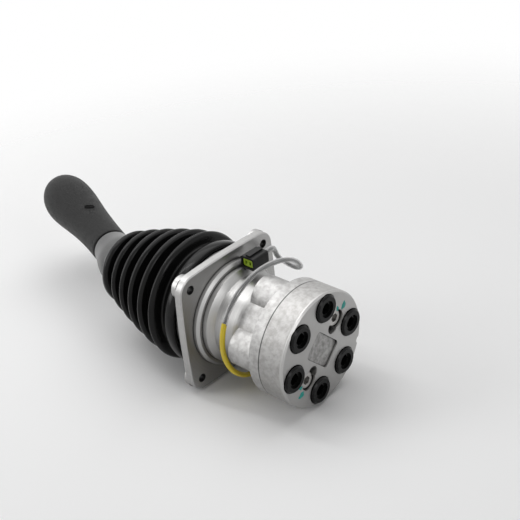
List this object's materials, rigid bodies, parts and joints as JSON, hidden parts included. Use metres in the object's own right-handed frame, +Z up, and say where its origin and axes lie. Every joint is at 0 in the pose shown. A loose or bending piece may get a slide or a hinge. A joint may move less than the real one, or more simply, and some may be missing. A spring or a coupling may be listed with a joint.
{
  "type": "hydraulic pilot joystick valve",
  "caption": "Hydraulic pilot control valve with a square mounting flange, ported end block, rubber bellows and a bent hand lever on a universal joint.",
  "frame": {"origin": "centre of the mounting flange's seating face, on the valve's axis", "axes": "+X along the valve's axis towards the ports, -X towards the lever, +Z up with the valve lying on one side of its flange"},
  "size_m": [0.3671, 0.1225, 0.103],
  "materials": {
    "machined_aluminium": "machined satin",
    "cast_aluminium": "fine cast and machined",
    "seal_rubber": "matte",
    "plug_plastic": "glossy moulded",
    "screw_steel": "zinc plated",
    "plain_steel": "turned",
    "spring_steel": "oiled",
    "sleeve_plastic": "semi-gloss",
    "grip_plastic": "fine leather grain",
    "button_plastic": "satin",
    "boot_rubber": "glossy moulded rubber",
    "connector_plastic": "satin",
    "insert_plastic": "satin",
    "cable_sleeve": "soft sleeve"
  },
  "bodies": {
    "housing": {"port_block": "machined_aluminium", "mounting_flange": "cast_aluminium", "valve_neck": "cast_aluminium", "valve_body": "cast_aluminium", "face_seal": "seal_rubber", "port_plugs": "plug_plastic", "cap_screws": "screw_steel", "plunger_plate": "plain_steel", "plunger_guides": "plain_steel", "joint_post": "plain_steel", "boot": "boot_rubber", "cable_gland": "connector_plastic", "harness": "cable_sleeve", "connector_housing": "connector_plastic", "connector_insert": "insert_plastic", "return_spring_1": "spring_steel", "return_spring_2": "spring_steel", "return_spring_3": "spring_steel", "return_spring_4": "spring_steel"},
    "cross": {"joint_cross": "plain_steel"},
    "lever": {"joint_cup": "plain_steel", "swash_disc": "plain_steel", "lock_nut": "screw_steel", "lever_rod": "plain_steel", "sleeve": "sleeve_plastic", "grip": "grip_plastic", "horn_switch": "button_plastic"},
    "button": {"horn_button": "button_plastic"},
    "plunger_set_1": {"plunger_1": "plain_steel", "spring_seat_1": "plain_steel", "spool_1": "plain_steel"},
    "plunger_set_2": {"plunger_2": "plain_steel", "spring_seat_2": "plain_steel", "spool_2": "plain_steel"},
    "plunger_set_3": {"plunger_3": "plain_steel", "spring_seat_3": "plain_steel", "spool_3": "plain_steel"},
    "plunger_set_4": {"plunger_4": "plain_steel", "spring_seat_4": "plain_steel", "spool_4": "plain_steel"}
  },
  "joints": [
    {"name": "tilt_sideways", "type": "hinge", "parent": "housing", "child": "cross", "pos_m": [-0.022, 0, 0], "axis": [0, 0, 1], "range_deg": [-17, 17], "stiffness_Nm_per_rad": 16, "deforming": ["boot"]},
    {"name": "tilt_up_down", "type": "hinge", "parent": "cross", "child": "lever", "pos_m": [-0.022, 0, 0], "axis": [0, 1, 0], "range_deg": [-17, 17], "stiffness_Nm_per_rad": 16},
    {"name": "horn_press", "type": "slide", "parent": "lever", "child": "button", "axis": [0.9367, -0.3502, 0], "range_m": [0, 0.002], "stiffness_N_per_m": 400, "springref_m": -0.004},
    {"name": "plunger_stroke_1", "type": "slide", "parent": "housing", "child": "plunger_set_1", "axis": [1, 0, 0], "range_m": [-0.0065, 0.0065], "deforming": ["return_spring_1"]},
    {"name": "plunger_stroke_2", "type": "slide", "parent": "housing", "child": "plunger_set_2", "axis": [1, 0, 0], "range_m": [-0.0065, 0.0065], "deforming": ["return_spring_2"]},
    {"name": "plunger_stroke_3", "type": "slide", "parent": "housing", "child": "plunger_set_3", "axis": [1, 0, 0], "range_m": [-0.0065, 0.0065], "deforming": ["return_spring_3"]},
    {"name": "plunger_stroke_4", "type": "slide", "parent": "housing", "child": "plunger_set_4", "axis": [1, 0, 0], "range_m": [-0.0065, 0.0065], "deforming": ["return_spring_4"]}
  ],
  "couplings": [
    {"joint": "plunger_stroke_1", "follows": "tilt_up_down", "m_per_rad": 0.0215},
    {"joint": "plunger_stroke_3", "follows": "tilt_up_down", "m_per_rad": -0.0215},
    {"joint": "plunger_stroke_2", "follows": "tilt_sideways", "m_per_rad": -0.0215},
    {"joint": "plunger_stroke_4", "follows": "tilt_sideways", "m_per_rad": 0.0215}
  ]
}
